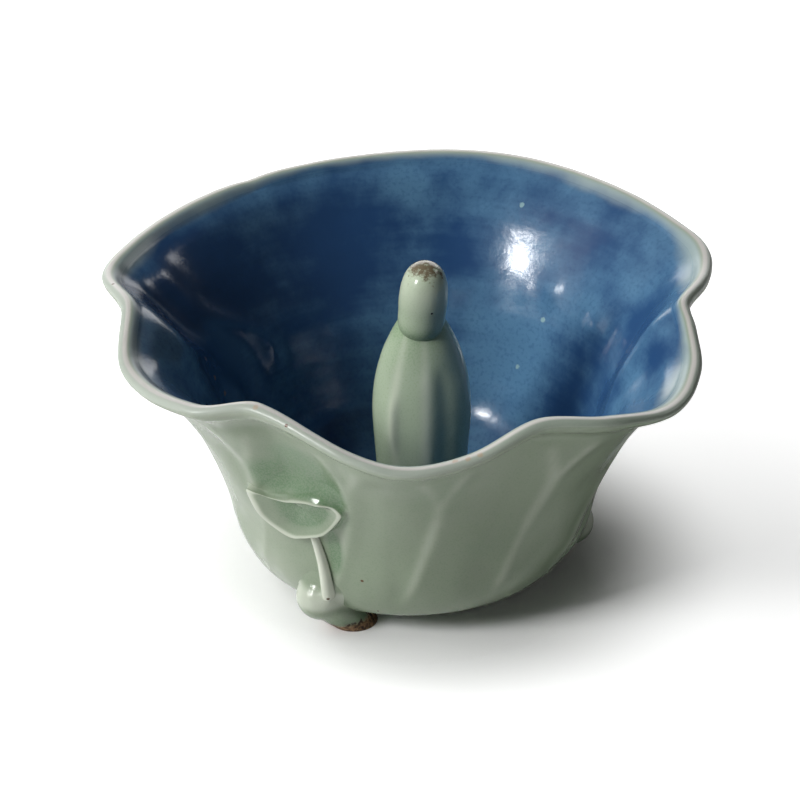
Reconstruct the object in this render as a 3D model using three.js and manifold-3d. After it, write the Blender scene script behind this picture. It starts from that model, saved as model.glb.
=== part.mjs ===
// Lotus-leaf puzzle cup of glazed porcelain, in millimetres, +Z up, standing on its three feet.
// A siphon hides in the hollow figure: filled past the top of the standpipe, the cup empties
// itself through the hole in its floor. The wall is thrown as a plain bowl and then pressed into
// the leaf. Every other piece is luted on with slip, which leaves a thin joint round it.
import * as THREE from "three";
import { mergeVertices } from "three/addons/utils/BufferGeometryUtils.js";
import Module from "manifold-3d";

const wasm = await Module();
wasm.setup();

// Driving dimensions of the bowl
const SLIP = 0.3; // thickness of the slip joint between two luted pieces
const RIM_REACH = 45; // radius of the lip's crest as thrown, before the leaf is pressed
const RIM_HEIGHT = 48; // height of the lip's crest as thrown
const LIP_THICKNESS = 2.4;
const BASE_HEIGHT = 3; // underside of the cup above the table
const FLOOR_HEIGHT = 6.4; // top of the floor inside
const FOLD_DEPTH = 0.85; // how a fold fades down the wall: a low power reaches far down
const LOBE_FLARE = 1.8; // and a lobe: a high power keeps the flare near the lip
const DROOP = 2.2; // and the rise or droop of the lip
const BELLY_SHIFT = 0.8; // the belly of the wall slumped this far to the right in firing
const BOWL_FACETS = 120; // one every 3 degrees
const SKIN_STEPS = 19; // rings up the outside of the wall
const INSIDE_STEPS = 13; // and down the inside
const SEAT_TOP = 42; // nothing is luted to the wall above this height

// Driving dimensions of the figure and the siphon in it
const FIGURE_X = 2.1; // they stand a little to the right of the cup's axis
const ROBE_DEPTH = 0.85; // front to back, as a share of the width
const PIPE_RADIUS = 2.6;
const BORE_RADIUS = 1.3;
const PIPE_FACETS = 24;
const PIPE_TOP = 36; // the cup starts to empty when it is filled to here
const INLET_WIDTH = 3.4; // arch in the robe's hem that lets the drink in
const INLET_HEIGHT = 3.6;

// Driving dimensions of a spray: a small leaf, its stem and the foot that the stem grows from
const SPRAYS = {
  front: { turn: 0, sway: 0 }, // degrees from the front one, and how far its leaf leans aside
  right: { turn: 122, sway: 30 },
  back: { turn: 240, sway: 0 },
};
const LEAF_ANGLE = 240; // middle of the front leaf
const LEAF_HEIGHT = 25.6;
const LEAF_REACH = 35; // radius of the wall and leaf together, for sizes measured along the wall
const PAD = { x: -8.4, y: -19.3, radius: 3.7 }; // flat sole of the front foot
const KNOB = { x: -13.8, y: -22.2, z: 6.2, radius: 3.9 }; // lump that the foot curls down from

const FOOT_FACETS = 17;

const SLIVER = 0.02; // where pieces are cut to fit, no edge shorter than this is left
const DEGREE = Math.PI / 180;
const { smoothstep, euclideanModulo } = THREE.MathUtils;

// The pressed rim, anticlockwise from the right-hand side: angle in degrees, reach from the axis
// and height. Lobes reach out and droop, and the folds between them pinch in and stand up.
const RIM = [
  { angle: 11, reach: 47.6, height: 48 }, // right tip
  { angle: 20, reach: 49.3, height: 48.4 },
  { angle: 28, reach: 48.4, height: 49 },
  { angle: 41, reach: 47.6, height: 49.6 },
  { angle: 71, reach: 47.2, height: 50 }, // back lobe
  { angle: 100, reach: 44.9, height: 50 },
  { angle: 136, reach: 44.7, height: 49.5 },
  { angle: 160, reach: 46.9, height: 48.5 },
  { angle: 171, reach: 47.8, height: 48 }, // left tip
  { angle: 186, reach: 43.5, height: 49 }, // left notch
  { angle: 205, reach: 46.7, height: 46 }, // left lobe
  { angle: 225, reach: 45, height: 46.3 },
  { angle: 237, reach: 41, height: 48 }, // front left fold
  { angle: 263, reach: 45, height: 44 },
  { angle: 271, reach: 45.5, height: 43.5 }, // front lobe
  { angle: 282, reach: 44.4, height: 44.5 },
  { angle: 296, reach: 43.6, height: 48 }, // front right fold
  { angle: 308, reach: 47.6, height: 47.5 },
  { angle: 322, reach: 49.4, height: 45.4 }, // right lobe
  { angle: 335, reach: 47.4, height: 45.8 },
  { angle: 348, reach: 44, height: 48 },
  { angle: 355, reach: 42.8, height: 49 }, // right notch
];

// Wall as thrown, [radius, height]: the outer skin from the middle of the underside to the lip
const SKIN = [
  [0, BASE_HEIGHT],
  [12, BASE_HEIGHT],
  [21, BASE_HEIGHT],
  [25.1, 4.3],
  [27.5, 7.6],
  [29.1, 12],
  [30.2, 17],
  [31.9, 22.5],
  [34, 28],
  [36.6, 34],
  [39.9, 40],
  [42.8, 44],
  [RIM_REACH, 45.2],
  [RIM_REACH + LIP_THICKNESS / 2, 46.4],
  [RIM_REACH + LIP_THICKNESS / 2 - 0.3, RIM_HEIGHT - 0.6],
];
// and the inside from the lip down to the middle of the floor
const INSIDE = [
  [RIM_REACH - LIP_THICKNESS / 2, RIM_HEIGHT - 0.6],
  [40.6, 44.8],
  [36.8, 39.6],
  [33.4, 34],
  [30.7, 28],
  [29, 22.5],
  [27.6, 17.5],
  [25.4, 12.4],
  [21.2, 8.6],
  [14, FLOOR_HEIGHT],
  [0, FLOOR_HEIGHT],
];

// Raised veins of the leaf on the outer skin: degrees round the cup at half height. They lean as
// they rise and fork under the lip.
const VEINS = [2, 30, 58, 86, 114, 142, 170, 198, 227, 253, 277, 306, 334];
const VEIN_RISE = 0.45;
const VEIN_HALF_WIDTH = 3.4; // degrees
const VEIN_LEAN = 0.27; // degrees for each millimetre of height
const VEIN_FORK = { spread: 4.5, low: 30, high: 42 }; // degrees to each branch, between heights
const VEIN_FOOT = { low: 6, high: 14 }; // heights between which a vein comes up out of the wall
const VEIN_TIP = { low: 38, high: 44 }; // and sinks back into it

// Robe of the figure, [half width, height]: outside from hem to crown, then the chamber inside it
const ROBE = [
  [7.5, FLOOR_HEIGHT + SLIP],
  [7.1, 11.5],
  [7.3, 18],
  [7.85, 27],
  [7.5, 32.4],
  [6.5, 36.9],
  [5.3, 40.3],
  [4.3, 42.7],
  [2.4, 44.2],
  [0, 44.6],
];
const CHAMBER = [
  [5.6, BASE_HEIGHT],
  [5.3, 11.5],
  [5.5, 18],
  [5.9, 27],
  [5.5, 32],
  [4.2, 36.8],
  [2.4, 40.2],
  [0, 41],
];
// Folds of the robe: degrees round the figure, the heights between which it shows, and its rise
const ROBE_FOLDS = [
  { angle: 229, low: 20, high: 35, rise: 0.5 }, // left sleeve
  { angle: 275, low: 6, high: 39, rise: 0.45 }, // front edge
  { angle: 299, low: 6, high: 39, rise: -0.45 }, // hollow beside it
  { angle: 331, low: 10, high: 38, rise: 0.4 }, // right sleeve
];
const ROBE_FOLD_HALF_WIDTH = 13; // degrees
const ROBE_FOLD_FADE = 5.5; // height over which a fold comes and goes
const ROBE_FACETS = 44;
const ROBE_STEPS = 16; // rings up the robe

// Bowed head, a bare smooth lump: [half width, height above its own foot]
const HEAD = [
  [0, 0],
  [2.5, 0.4],
  [3.4, 1.9],
  [3.6, 4.2],
  [3.6, 6.4],
  [3.4, 9],
  [2.75, 11],
  [1.6, 12.2],
  [0, 12.6],
];
const HEAD_DEPTH = 1.1; // front to back, as a share of the width
const HEAD_FOOT = { x: 1.75, y: -0.9, z: 40.9 };
const HEAD_LEAN = { right: 5, back: 5 }; // degrees
const HEAD_FACETS = 22;
const HEAD_STEPS = 13;

// Small leaf of a spray, seen from outside: [across, up] from its middle, anticlockwise
const LEAF_OUTLINE = [
  [7.7, 2.3], // right tip
  [5.2, 4.1],
  [0.5, 2.9],
  [-4.2, 1.5],
  [-9.6, 2.8], // left tip
  [-8.7, -1.5],
  [-5.2, -4.9],
  [-0.8, -4.8],
  [3.4, -2.7],
  [6.9, 0.4],
];
// Section through it: share of the way to the outline, and distance out from the wall
const LEAF_SECTION = [
  [0, 0],
  [0.86, 0],
  [0.97, 1.2],
  [1, 2.1],
  [0.95, 2.7], // rolled edge
  [0.84, 2.3],
  [0.6, 1.5],
  [0.3, 1.15],
  [0, 1.1],
];
const LEAF_FACETS = 26;

// Route of the front stem's middle, up from the foot: [degrees, height, distance out from the wall]
const STEM_ROUTE = [
  [244.4, 7.9, 1.5],
  [244.3, 11, 1.4],
  [242.8, 14.4, 1.2],
  [241.2, 17.6, 1.1],
  [239.9, 20.6, 1],
];
// Stem, [radius, share of the way up]: a rolled string with rounded ends
const STEM_SECTION = [
  [0, 0],
  [0.8, 0.02],
  [1.15, 0.08],
  [1.1, 0.2],
  [0.98, 0.35],
  [0.85, 0.5],
  [0.77, 0.65],
  [0.7, 0.8],
  [0.65, 0.95],
  [0.4, 0.99],
  [0, 1],
];
const STEM_FACETS = 10;
const STEM_SWING = 7; // height over which a leaning stem swings aside

// Leg of the foot as it would be turned straight, [radius, height]: the flat sole, then up to the lump
const LEG = [
  [0, 0],
  [PAD.radius - 0.4, 0],
  [PAD.radius, 0.5],
  [PAD.radius + 0.1, 1.6],
  [PAD.radius + 0.2, 3.2],
  [PAD.radius, 5],
  [0, 6],
];
const LEG_CURL = 0.8; // how soon the leg curls in from the lump: under 1 keeps the sole end upright

// Cubic curve through [x, y] stations as a function of x, repeating after the given period
function repeatingCurve(stations, period) {
  const count = stations.length;
  const at = (i) => {
    const turns = Math.floor(i / count);
    const [x, y] = stations[i - turns * count];
    return [x + turns * period, y];
  };
  const slope = (i) => {
    const [x0, y0] = at(i - 1);
    const [x1, y1] = at(i + 1);
    return (y1 - y0) / (x1 - x0);
  };
  return (x) => {
    const start = stations[0][0];
    const u = start + euclideanModulo(x - start, period);
    const i = stations.findLastIndex(([first]) => first <= u);
    const [x0, y0] = at(i);
    const [x1, y1] = at(i + 1);
    const t = (u - x0) / (x1 - x0);
    const bend = (1 - t) * slope(i) - t * slope(i + 1);
    return y0 + (y1 - y0) * t * t * (3 - 2 * t) + (x1 - x0) * t * (1 - t) * bend;
  };
}

// Signed angle from one direction to another, between -180 and 180
const degreesBetween = (to, from) => euclideanModulo(to - from + 180, 360) - 180;

const rimReach = repeatingCurve(RIM.map((p) => [p.angle, p.reach]), 360);
const rimHeight = repeatingCurve(RIM.map((p) => [p.angle, p.height]), 360);
const skinCurve = new THREE.SplineCurve(SKIN.map(([r, z]) => new THREE.Vector2(r, z)));

// Points along a smooth curve through an outline
function smoothed(outline, count) {
  const curve = new THREE.SplineCurve(outline.map(([x, y]) => new THREE.Vector2(x, y)));
  return curve.getPoints(count).map((p) => [p.x, p.y]);
}

// The same outline moved out by a distance, square to itself, with its ends kept on the axis
function grown(outline, distance) {
  return outline.map(([x, y], i) => {
    const [x0, y0] = outline[Math.max(i - 1, 0)];
    const [x1, y1] = outline[Math.min(i + 1, outline.length - 1)];
    const length = Math.hypot(x1 - x0, y1 - y0);
    const out = x > 0.001 ? (distance * (y1 - y0)) / length : 0;
    return [x + out, y - (distance * (x1 - x0)) / length];
  });
}

// Revolves a profile of [radius, height] about +Z, and moves each corner to where place puts it
function turned(profile, facets, place) {
  const points = profile.map(([r, z]) => new THREE.Vector2(r, z));
  const geometry = new THREE.LatheGeometry(points, facets).rotateX(Math.PI / 2);
  const corners = geometry.getAttribute("position");
  for (let i = 0; i < corners.count; i++) {
    const row = i % profile.length;
    const [radius, height] = profile[row];
    const angle = Math.atan2(corners.getY(i), corners.getX(i));
    const p = place(radius, height, angle, row);
    corners.setXYZ(i, p.x, p.y, p.z);
  }
  return geometry;
}

const round = (radius, height, angle) =>
  new THREE.Vector3(radius * Math.cos(angle), radius * Math.sin(angle), height);

// Where a point of the thrown bowl goes when the leaf is pressed: nowhere at the base, and all
// the way at the lip
function pressed(radius, height, angle) {
  const share = Math.max(0, (height - BASE_HEIGHT) / (RIM_HEIGHT - BASE_HEIGHT));
  const pull = rimReach(angle / DEGREE) / RIM_REACH - 1;
  const lift = rimHeight(angle / DEGREE) - RIM_HEIGHT;
  const pressedRadius = radius * (1 + pull * share ** (pull < 0 ? FOLD_DEPTH : LOBE_FLARE));
  const slump = new THREE.Vector3(4 * BELLY_SHIFT * share * (1 - share), 0, 0);
  return round(pressedRadius, height + lift * share ** DROOP, angle).add(slump);
}

// How far the wall's veins stand out of it
function veinRise(height, angle) {
  let crest = 0;
  for (const vein of VEINS) {
    const middle = vein + VEIN_LEAN * (height - RIM_HEIGHT / 2);
    const fork = VEIN_FORK.spread * smoothstep(height, VEIN_FORK.low, VEIN_FORK.high);
    for (const branch of [middle - fork, middle + fork]) {
      const away = Math.abs(degreesBetween(angle / DEGREE, branch));
      crest = Math.max(crest, 1 - away / VEIN_HALF_WIDTH);
    }
  }
  const foot = smoothstep(height, VEIN_FOOT.low, VEIN_FOOT.high);
  const tip = 1 - smoothstep(height, VEIN_TIP.low, VEIN_TIP.high);
  return VEIN_RISE * crest * foot * tip;
}

// Radius of the thrown skin at a height above the base
function skinRadius(height) {
  let low = 0;
  let high = 1;
  for (let halving = 0; halving < 30; halving++) {
    const middle = (low + high) / 2;
    if (skinCurve.getPoint(middle).y < height) low = middle;
    else high = middle;
  }
  return skinCurve.getPoint(low).x;
}

// A point a distance out from the pressed wall, square to its outer skin
function onWall(angle, height, out) {
  const step = 0.01;
  const here = pressed(skinRadius(height), height, angle);
  const across = pressed(skinRadius(height), height, angle + step).sub(here);
  const up = pressed(skinRadius(height + step), height + step, angle).sub(here);
  return here.add(across.cross(up).normalize().multiplyScalar(out));
}

// A closed geometry as a solid that can be joined and cut
function solid(geometry) {
  const bare = new THREE.BufferGeometry();
  bare.setAttribute("position", geometry.getAttribute("position"));
  if (geometry.index) bare.setIndex(geometry.index);
  const merged = mergeVertices(bare, 1e-3);
  const corners = merged.index.array;
  const kept = [];
  for (let i = 0; i < corners.length; i += 3) {
    const [a, b, c] = corners.slice(i, i + 3);
    if (a !== b && b !== c && c !== a) kept.push(a, b, c);
  }
  const vertProperties = merged.getAttribute("position").array;
  const triVerts = new Uint32Array(kept);
  return new wasm.Manifold(new wasm.Mesh({ numProp: 3, vertProperties, triVerts }));
}

// and a solid as a geometry, without the slivers that cutting leaves
function surface(manifold) {
  const { vertProperties, triVerts } = manifold.simplify(SLIVER).getMesh();
  const geometry = new THREE.BufferGeometry();
  geometry.setAttribute("position", new THREE.BufferAttribute(vertProperties, 3));
  geometry.setIndex(new THREE.BufferAttribute(triVerts, 1));
  geometry.computeVertexNormals();
  return geometry;
}

// Bowl: the thrown wall pressed into the leaf, with the hole that takes the standpipe
function leafBowl() {
  const skin = smoothed(SKIN, SKIN_STEPS);
  const profile = [...skin, [RIM_REACH, RIM_HEIGHT], ...smoothed(INSIDE, INSIDE_STEPS)];
  const wall = turned(profile, BOWL_FACETS, (radius, height, angle, row) => {
    const rise = row < skin.length ? veinRise(height, angle) : 0;
    return pressed(radius + rise, height, angle);
  });
  const holeRadius = PIPE_RADIUS + SLIP;
  const hole = new THREE.CylinderGeometry(holeRadius, holeRadius, 4 * BASE_HEIGHT, PIPE_FACETS)
    .rotateX(Math.PI / 2)
    .translate(FIGURE_X, 0, BASE_HEIGHT);
  return surface(solid(wall).subtract(solid(hole)));
}

// Solid bounded by the bowl's skin grown by the slip joint, that the applied pieces are cut to fit
function bowlSeat() {
  const skin = grown(smoothed(SKIN, SKIN_STEPS), SLIP).filter(([, height]) => height < SEAT_TOP);
  const top = skin.at(-1)[1];
  const blank = turned([...skin, [0, top]], BOWL_FACETS, (radius, height, angle) =>
    pressed(radius + (radius > 0 ? veinRise(height, angle) : 0), height, angle),
  );
  return solid(blank);
}
const seat = bowlSeat();

// A point of the figure's robe: an oval section, with the folds of the cloth where folded is set
function draped(radius, height, angle, folded) {
  let r = radius;
  for (const fold of folded ? ROBE_FOLDS : []) {
    const away = degreesBetween(angle / DEGREE, fold.angle);
    const risen = smoothstep(height, fold.low, fold.low + ROBE_FOLD_FADE);
    const fallen = smoothstep(height, fold.high - ROBE_FOLD_FADE, fold.high);
    r += fold.rise * risen * (1 - fallen) * Math.exp(-((away / ROBE_FOLD_HALF_WIDTH) ** 2));
  }
  return new THREE.Vector3(FIGURE_X + r * Math.cos(angle), ROBE_DEPTH * r * Math.sin(angle), height);
}

// Robe: a hollow shell, open at the hem, with an arch behind for the drink to come in by
function robeShell() {
  const cloth = [[0, ROBE[0][1]], ...smoothed(ROBE, ROBE_STEPS)];
  const hollow = [[0, CHAMBER[0][1]], ...smoothed(CHAMBER, ROBE_STEPS / 2)];
  const outside = turned(cloth, ROBE_FACETS, (r, z, angle) => draped(r, z, angle, true));
  const inside = turned(hollow, ROBE_FACETS / 2, (r, z, angle) => draped(r, z, angle, false));
  const half = INLET_WIDTH / 2;
  const arch = new THREE.Shape()
    .moveTo(-half, -1)
    .lineTo(half, -1)
    .lineTo(half, INLET_HEIGHT - half)
    .absarc(0, INLET_HEIGHT - half, half, 0, Math.PI);
  const through = { depth: 10, bevelEnabled: false, curveSegments: 8 };
  const inlet = new THREE.ExtrudeGeometry(arch, through)
    .rotateX(Math.PI / 2)
    .rotateZ(Math.PI)
    .translate(FIGURE_X, 0, FLOOR_HEIGHT);
  return solid(outside).subtract(solid(inside)).subtract(solid(inlet));
}

// Solid of the robe grown by the slip joint, that the head is cut to fit
function robeSeat() {
  const outside = grown(smoothed(ROBE, ROBE_STEPS), SLIP);
  const whole = [[0, outside[0][1]], ...outside];
  return solid(turned(whole, ROBE_FACETS, (r, z, angle) => draped(r, z, angle, false)));
}

// Head: an oval lump leaning back and to the right, seated on the robe's crown
function bowedHead() {
  const oval = (radius, height, angle) =>
    new THREE.Vector3(radius * Math.cos(angle), HEAD_DEPTH * radius * Math.sin(angle), height);
  const lump = turned(smoothed(HEAD, HEAD_STEPS), HEAD_FACETS, oval)
    .rotateX(-HEAD_LEAN.back * DEGREE)
    .rotateY(HEAD_LEAN.right * DEGREE)
    .translate(HEAD_FOOT.x, HEAD_FOOT.y, HEAD_FOOT.z);
  return solid(lump).subtract(robeSeat());
}

// Standpipe: the tube that the chamber empties through, set in the hole in the floor
function standpipe() {
  const tube = [
    [BORE_RADIUS, BASE_HEIGHT],
    [PIPE_RADIUS, BASE_HEIGHT],
    [PIPE_RADIUS, PIPE_TOP - 1],
    [PIPE_RADIUS - 0.3, PIPE_TOP - 0.3],
    [PIPE_RADIUS - 0.7, PIPE_TOP], // rounded top edge
    [BORE_RADIUS, PIPE_TOP - 0.3],
    [BORE_RADIUS, BASE_HEIGHT],
  ];
  return solid(turned(tube, PIPE_FACETS, round).translate(FIGURE_X, 0, 0));
}

// Small leaf of a spray, spread over the wall and cut to fit it
function sprayLeaf({ turn, sway }) {
  const corners = LEAF_OUTLINE.map(([across, up]) => new THREE.Vector3(across, up, 0));
  const outline = new THREE.CatmullRomCurve3(corners, true);
  const middle = (LEAF_ANGLE + turn + sway) * DEGREE;
  const leaf = turned(LEAF_SECTION, LEAF_FACETS, (share, out, around) => {
    const edge = outline.getPoint(euclideanModulo(around / (2 * Math.PI), 1));
    return onWall(middle + (share * edge.x) / LEAF_REACH, LEAF_HEIGHT + share * edge.y, out);
  });
  return solid(leaf).subtract(seat);
}

// Stem swept along its route over the wall, and grown all round by a margin where one is given
function sprayStem({ turn, sway }, margin = 0) {
  const start = STEM_ROUTE[0][1];
  const points = STEM_ROUTE.map(([degrees, height, out]) => {
    const swung = sway * smoothstep(height, start, start + STEM_SWING);
    return onWall((degrees + turn + swung) * DEGREE, height, out);
  });
  const route = new THREE.CatmullRomCurve3(points);
  const string = turned(STEM_SECTION, STEM_FACETS, (radius, share, around) => {
    const along = route.getTangentAt(share);
    const end = share < 0.05 ? -margin : share > 0.95 ? margin : 0;
    const middle = route.getPointAt(share).addScaledVector(along, end);
    const outward = new THREE.Vector3(middle.x, middle.y, 0);
    outward.addScaledVector(along, -outward.dot(along)).normalize();
    const across = outward.clone().cross(along);
    const r = radius > 0 ? radius + margin : 0;
    middle.addScaledVector(across, r * Math.cos(around));
    return middle.addScaledVector(outward, r * Math.sin(around));
  });
  return solid(string).subtract(seat);
}

// Foot: a lump against the wall's lower edge that curls in under the cup to its flat sole
function sprayFoot(spray) {
  const knob = new THREE.SphereGeometry(KNOB.radius, FOOT_FACETS, 11);
  knob.translate(KNOB.x, KNOB.y, KNOB.z);
  const leg = turned(LEG, FOOT_FACETS, (radius, height, angle) => {
    const curl = (height / KNOB.z) ** LEG_CURL;
    const middle = new THREE.Vector3(PAD.x, PAD.y, 0).lerp(new THREE.Vector3(KNOB.x, KNOB.y, 0), curl);
    return middle.add(round(radius, height, angle));
  });
  const foot = solid(knob).add(solid(leg)).rotate([0, 0, spray.turn]);
  return foot.subtract(seat).subtract(sprayStem(spray, SLIP));
}

// Each piece with its own glaze: celadon, paler where it is thin and greener where it pools
const GLAZES = {
  leaf_bowl: { color: "#93a791", roughness: 0.22 },
  robe_shell: { color: "#7f9673", roughness: 0.24 },
  figure_head: { color: "#7c8a70", roughness: 0.26 },
  siphon_standpipe: { color: "#9aa894", roughness: 0.4 },
  leaf: { color: "#88a07f", roughness: 0.22 },
  stem: { color: "#a9b4a0", roughness: 0.24 },
  foot: { color: "#8f9a83", roughness: 0.35 },
};

const cup = new THREE.Group();

function add(name, geometry, glaze) {
  const material = new THREE.MeshStandardMaterial({ ...glaze, metalness: 0 });
  const mesh = new THREE.Mesh(geometry, material);
  mesh.name = name;
  cup.add(mesh);
}

add("leaf_bowl", leafBowl(), GLAZES.leaf_bowl);
add("robe_shell", surface(robeShell()), GLAZES.robe_shell);
add("figure_head", surface(bowedHead()), GLAZES.figure_head);
add("siphon_standpipe", surface(standpipe()), GLAZES.siphon_standpipe);
for (const [side, spray] of Object.entries(SPRAYS)) {
  add(`${side}_leaf`, surface(sprayLeaf(spray)), GLAZES.leaf);
  add(`${side}_stem`, surface(sprayStem(spray)), GLAZES.stem);
  add(`${side}_foot`, surface(sprayFoot(spray)), GLAZES.foot);
}

// The origin lies under the middle of the cup, on the table
const middle = new THREE.Box3().setFromObject(cup).getCenter(new THREE.Vector3());
cup.position.set(-middle.x, -middle.y, 0);
cup.updateMatrixWorld(true);

export default cup;
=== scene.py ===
# %% [markdown]
# # A lotus-leaf puzzle cup in glazed porcelain
# This lesson dresses a small drinking cup: a bowl pressed into the shape of a lotus leaf, celadon
# green outside and cobalt blue inside, that stands on three curled feet. A robed figure stands in
# the middle and hides a siphon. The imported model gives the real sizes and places, and every piece
# here is made again with a finer surface in the same place.

# %% Open the frame
import math

import bmesh
import bpy
from mathutils import Matrix, Vector, noise


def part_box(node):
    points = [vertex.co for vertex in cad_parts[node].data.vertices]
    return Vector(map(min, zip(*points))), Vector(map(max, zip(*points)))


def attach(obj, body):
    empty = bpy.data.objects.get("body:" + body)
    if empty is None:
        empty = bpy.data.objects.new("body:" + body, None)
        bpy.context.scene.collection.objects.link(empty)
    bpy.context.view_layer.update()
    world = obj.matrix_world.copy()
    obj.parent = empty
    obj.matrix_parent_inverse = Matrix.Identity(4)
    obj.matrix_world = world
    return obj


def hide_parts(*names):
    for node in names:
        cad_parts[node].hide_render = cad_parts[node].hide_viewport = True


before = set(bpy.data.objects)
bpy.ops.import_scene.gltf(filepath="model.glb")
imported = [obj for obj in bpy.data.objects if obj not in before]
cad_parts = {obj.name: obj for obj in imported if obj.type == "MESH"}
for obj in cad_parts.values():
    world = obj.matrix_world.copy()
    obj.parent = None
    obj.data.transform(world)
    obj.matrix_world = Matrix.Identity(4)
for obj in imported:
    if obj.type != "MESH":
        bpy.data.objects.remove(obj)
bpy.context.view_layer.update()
scene = bpy.context.scene

# %% [markdown]
# ## Sizes
# A potter's sizes are in millimetres, so the shapes are worked out in millimetres round the cup's
# own axis and turned into metres once, when a piece is finished. The axis is found from the
# siphon's tube, which stands a known step to the right of it.

# %% Driving dimensions
MM = 0.001
DEGREE = math.pi / 180
RIM_REACH = 45.0  # radius of the lip's crest as thrown
RIM_HEIGHT = 48.0
BASE_HEIGHT = 3.0  # underside of the bowl, above the table
FLOOR_HEIGHT = 6.4  # floor inside the bowl
FOLD_DEPTH = 0.85  # powers: how far down the wall a fold, a flare and a droop are felt
LOBE_FLARE = 1.8
DROOP = 2.2
BELLY_SHIFT = 0.8  # the belly leans this far to the right
FIGURE_X = 2.1  # the figure stands this far to the right of the axis
ROBE_DEPTH = 0.85  # the robe is oval: its depth over its width
PIPE_RADIUS = 2.6
BORE_RADIUS = 1.3
PIPE_TOP = 36.0
DRAIN_PLAY = 0.15  # between the tube and the hole in the floor
INLET_WIDTH = 3.4
INLET_HEIGHT = 3.6

tube_low, tube_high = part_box("siphon_standpipe")
AXIS = Vector(((tube_low.x + tube_high.x) / 2 - FIGURE_X * MM, (tube_low.y + tube_high.y) / 2, 0))
print("the cup's axis stands at", [round(1000 * a, 2) for a in AXIS], "mm")

# The pressed rim: angle, reach from the axis and height of the lip's crest
RIM = [
    (11, 47.6, 48),
    (20, 49.3, 48.4),
    (28, 48.4, 49),
    (41, 47.6, 49.6),
    (71, 47.2, 50),
    (100, 44.9, 50),
    (136, 44.7, 49.5),
    (160, 46.9, 48.5),
    (171, 47.8, 48),
    (186, 43.5, 49),
    (205, 46.7, 46),
    (225, 45, 46.3),
    (237, 41, 48),
    (263, 45, 44),
    (271, 45.5, 43.5),
    (282, 44.4, 44.5),
    (296, 43.6, 48),
    (308, 47.6, 47.5),
    (322, 49.4, 45.4),
    (335, 47.4, 45.8),
    (348, 44, 48),
    (355, 42.8, 49),
]
# Wall as thrown, radius and height: the outer skin up to the lip, the lip, and the inside down
SKIN = [
    (0, 3),
    (12, 3),
    (21, 3),
    (25.1, 4.3),
    (27.5, 7.6),
    (29.1, 12),
    (30.2, 17),
    (31.9, 22.5),
    (34, 28),
    (36.6, 34),
    (39.9, 40),
    (42.8, 44),
    (45, 45.2),
    (46.2, 46.4),
]
LIP = [(46.35, 47.2), (45.8, 47.85), (45, 48), (44.3, 47.8), (43.75, 47.3)]
INSIDE = [
    (43.1, 46.6),
    (40.6, 44.6),
    (36.8, 39.6),
    (33.4, 34),
    (30.7, 28),
    (29, 22.5),
    (27.6, 17.5),
    (25.4, 12.4),
    (21.2, 8.6),
    (14, 6.4),
    (0, 6.4),
]


# %% [markdown]
# ## Tools of the bench
# Almost every piece of this cup starts as something turned: a profile spun about an axis. Blender's
# spin operator does that. The hand work comes after it, when each corner of the turned shape is
# moved to its place on the pressed wall, as a potter presses and lutes soft clay.

# %% Smooth curves
def smoothstep(x, low, high):
    t = min(max((x - low) / (high - low), 0), 1)
    return t * t * (3 - 2 * t)


def degrees_between(to, start):
    return (to - start + 180) % 360 - 180


def bump(away, width):
    return math.exp(-((away / width) ** 2))


def smooth_line(points, steps):
    """A curve through the points, with so many steps from each point to the next."""
    line = []
    for i in range(len(points) - 1):
        p0 = Vector(points[max(i - 1, 0)])
        p1 = Vector(points[i])
        p2 = Vector(points[i + 1])
        p3 = Vector(points[min(i + 2, len(points) - 1)])
        for step in range(steps):
            t = step / steps
            v0 = (p2 - p0) / 2
            v1 = (p3 - p1) / 2
            square = (3 * p2 - 3 * p1 - 2 * v0 - v1) * t**2
            cubic = (2 * p1 - 2 * p2 + v0 + v1) * t**3
            line.append(p1 + v0 * t + square + cubic)
    line.append(Vector(points[-1]))
    return line


def repeating_curve(stations, period):
    """A cubic curve through (x, y) stations as a function of x that repeats after the period."""
    count = len(stations)

    def at(i):
        turns, place = divmod(i, count)
        return stations[place][0] + turns * period, stations[place][1]

    def slope(i):
        (x0, y0), (x1, y1) = at(i - 1), at(i + 1)
        return (y1 - y0) / (x1 - x0)

    def value(x):
        start = stations[0][0]
        u = start + (x - start) % period
        i = max(k for k in range(count) if stations[k][0] <= u)
        (x0, y0), (x1, y1) = at(i), at(i + 1)
        t = (u - x0) / (x1 - x0)
        bend = (1 - t) * slope(i) - t * slope(i + 1)
        return y0 + (y1 - y0) * t * t * (3 - 2 * t) + (x1 - x0) * t * (1 - t) * bend

    return value


rim_reach = repeating_curve([(a, reach) for a, reach, _ in RIM], 360)
rim_height = repeating_curve([(a, height) for a, _, height in RIM], 360)
reaches = [reach for _, reach, _ in RIM]
print("the lip reaches", min(reaches), "to", max(reaches), "mm from the axis")


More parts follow.
